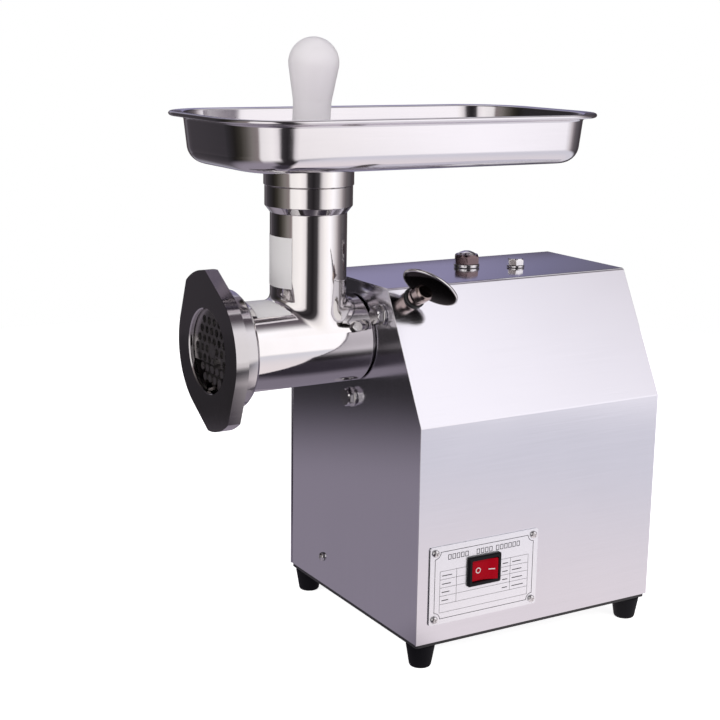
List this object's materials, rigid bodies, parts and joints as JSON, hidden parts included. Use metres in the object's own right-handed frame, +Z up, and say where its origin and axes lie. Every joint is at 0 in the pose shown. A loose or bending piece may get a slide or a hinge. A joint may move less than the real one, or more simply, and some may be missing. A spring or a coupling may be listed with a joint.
{
  "type": "electric meat grinder",
  "caption": "Tabletop electric meat grinder: bent sheet housing with a motor and gears, a horizontal grinding barrel with feed tube, a tray on top and a pusher.",
  "frame": {"origin": "centre of the machine's footprint box, on the floor it stands on", "axes": "-Y is where the grinding head points, +X is the side with the switch, +Z is up"},
  "size_m": [0.2084, 0.3726, 0.4692],
  "materials": {
    "brushed_steel": "brushed",
    "polished_steel": "polished",
    "dark_polished_steel": "polished",
    "plain_steel": "satin",
    "cast_aluminium": "as cast",
    "brass": "machined",
    "black_steel": "matt black",
    "painted_steel": "grey paint",
    "wound_core": "varnished windings",
    "rubber": "moulded",
    "black_plastic": "moulded",
    "red_plastic": "translucent red",
    "white_plastic": "translucent white"
  },
  "bodies": {
    "housing": {"housing_wrap": "brushed_steel", "front_panel": "dark_polished_steel", "front_panel_screw": "plain_steel", "base_plate": "black_steel", "foot_front_left": "rubber", "foot_front_right": "rubber", "foot_rear_left": "rubber", "foot_rear_right": "rubber", "nameplate": "brushed_steel", "nameplate_screw_1": "plain_steel", "nameplate_screw_2": "plain_steel", "nameplate_screw_3": "plain_steel", "nameplate_screw_4": "plain_steel", "switch_body": "black_plastic", "top_bolt": "plain_steel", "top_bolt_washer": "plain_steel", "flange_bolt_right": "plain_steel", "flange_bolt_left": "plain_steel", "flange_bolt_bottom": "plain_steel", "gearbox_case": "cast_aluminium", "gearbox_cover": "cast_aluminium", "output_bearing_front": "plain_steel", "output_bearing_rear": "plain_steel", "idler_bearing_front": "plain_steel", "idler_bearing_rear": "plain_steel", "motor_bearing_front": "plain_steel", "motor_bearing_rear": "plain_steel", "motor_shell": "painted_steel", "motor_bell": "cast_aluminium", "motor_stator": "wound_core", "capacitor": "black_plastic", "rear_panel": "brushed_steel", "cable_gland": "black_plastic"},
    "rocker": {"switch_rocker": "red_plastic"},
    "clamp_ring": {"clamp_washer": "black_steel"},
    "clamp": {"clamp_screw": "plain_steel", "clamp_wing": "dark_polished_steel"},
    "cap_washer": {"oil_cap_washer": "plain_steel"},
    "cap": {"oil_cap": "polished_steel"},
    "head": {"head_casting": "polished_steel", "auger_bushing": "brass", "bushing_screw": "plain_steel", "plate_key": "plain_steel"},
    "plate": {"grinder_plate": "plain_steel"},
    "nut": {"ring_nut": "dark_polished_steel"},
    "screw": {"auger": "plain_steel", "knife": "plain_steel"},
    "spout": {"tray_spout": "polished_steel"},
    "tray": {"tray": "polished_steel"},
    "pusher": {"pusher": "white_plastic"},
    "motor": {"motor_rotor": "plain_steel", "motor_fan": "black_plastic"},
    "idler": {"idler_shaft": "plain_steel", "idler_gear": "plain_steel"},
    "output": {"output_shaft": "plain_steel", "output_gear": "plain_steel"}
  },
  "joints": [
    {"name": "switch_rocker", "type": "hinge", "parent": "housing", "child": "rocker", "pos_m": [0.10181, 0.00545, 0.0735], "axis": [0, 0, 1], "range_deg": [0, 18]},
    {"name": "clamp_travel", "type": "slide", "parent": "housing", "child": "clamp_ring", "axis": [0.8858, 0, 0.4641], "range_m": [0, 0.0105]},
    {"name": "clamp_turn", "type": "hinge", "parent": "clamp_ring", "child": "clamp", "pos_m": [0.05259, -0.03275, 0.27933], "axis": [0.8858, 0, 0.4641], "range_deg": [0, 2160]},
    {"name": "oil_cap_travel", "type": "slide", "parent": "housing", "child": "cap_washer", "axis": [0, 0, 1], "range_m": [0, 0.0075]},
    {"name": "oil_cap_turn", "type": "hinge", "parent": "cap_washer", "child": "cap", "pos_m": [-0.01179, 0.05825, 0.29], "axis": [0, 0, 1], "range_deg": [0, 1800]},
    {"name": "head_draw", "type": "slide", "parent": "housing", "child": "head", "axis": [0, -1, 0], "range_m": [0, 0.06]},
    {"name": "plate_draw", "type": "slide", "parent": "head", "child": "plate", "axis": [0, -1, 0], "range_m": [0, 0.018]},
    {"name": "ring_nut_turn", "type": "hinge", "parent": "plate", "child": "nut", "pos_m": [-0.00279, -0.17275, 0.2417], "axis": [0, -1, 0], "range_deg": [0, 1620]},
    {"name": "auger_spin", "type": "hinge", "parent": "head", "child": "screw", "pos_m": [-0.00279, -0.10875, 0.2417], "axis": [0, -1, 0], "continuous": true},
    {"name": "tray_lift", "type": "slide", "parent": "head", "child": "spout", "axis": [0, 0, 1], "range_m": [0, 0.03]},
    {"name": "tray_swivel", "type": "hinge", "parent": "spout", "child": "tray", "pos_m": [-0.00279, -0.09315, 0.376], "axis": [0, 0, 1], "continuous": true},
    {"name": "pusher_lift", "type": "slide", "parent": "tray", "child": "pusher", "axis": [0, 0, 1], "range_m": [0, 0.19]},
    {"name": "motor_spin", "type": "hinge", "parent": "housing", "child": "motor", "pos_m": [-0.00279, 0.11625, 0.15967], "axis": [0, -1, 0], "continuous": true},
    {"name": "idler_spin", "type": "hinge", "parent": "housing", "child": "idler", "pos_m": [0.01431, 0.03625, 0.19471], "axis": [0, -1, 0], "continuous": true},
    {"name": "output_spin", "type": "hinge", "parent": "housing", "child": "output", "pos_m": [-0.00279, 0.02625, 0.2417], "axis": [0, -1, 0], "continuous": true}
  ],
  "couplings": [
    {"joint": "clamp_travel", "follows": "clamp_turn", "m_per_rad": 0.00027852},
    {"joint": "oil_cap_turn", "follows": "oil_cap_travel", "rad_per_m": 4188.8},
    {"joint": "plate_draw", "follows": "ring_nut_turn", "m_per_rad": 0.00063662},
    {"joint": "idler_spin", "follows": "motor_spin", "ratio": -0.33333},
    {"joint": "output_spin", "follows": "motor_spin", "ratio": 0.12963},
    {"joint": "auger_spin", "follows": "motor_spin", "ratio": 0.12963}
  ]
}
